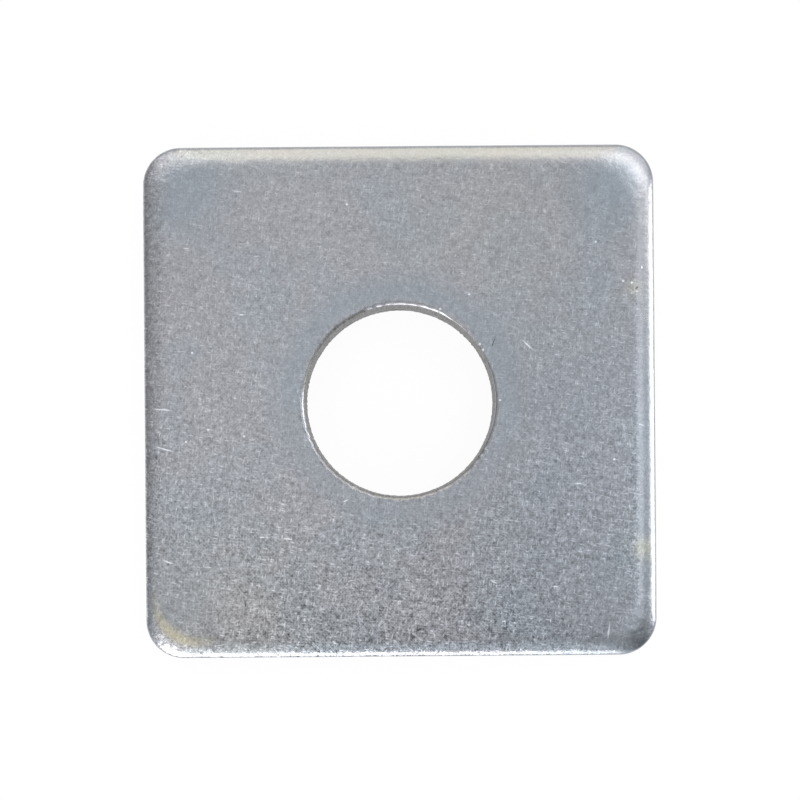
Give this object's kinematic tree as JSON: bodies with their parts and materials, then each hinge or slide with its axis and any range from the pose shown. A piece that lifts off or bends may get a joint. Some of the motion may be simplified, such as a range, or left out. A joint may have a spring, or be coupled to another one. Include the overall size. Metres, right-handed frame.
{
  "type": "square plate washer",
  "caption": "Flat square washer with rounded corners and a round bolt hole, stamped from steel and zinc plated, that spreads a bolt's load over timber or a channel.",
  "frame": {"origin": "on the bolt hole's axis, in the flat far face that lies on the work", "axes": "+Z along the hole's axis and out of the near face with the rolled edges, X and Y along the square's sides"},
  "size_m": [0.03, 0.03, 0.003],
  "materials": {
    "zinc_plated_steel": "barrel zinc plated, satin with fine tumbling marks"
  },
  "bodies": {
    "root": {"plate_washer": "zinc_plated_steel"}
  },
  "joints": []
}
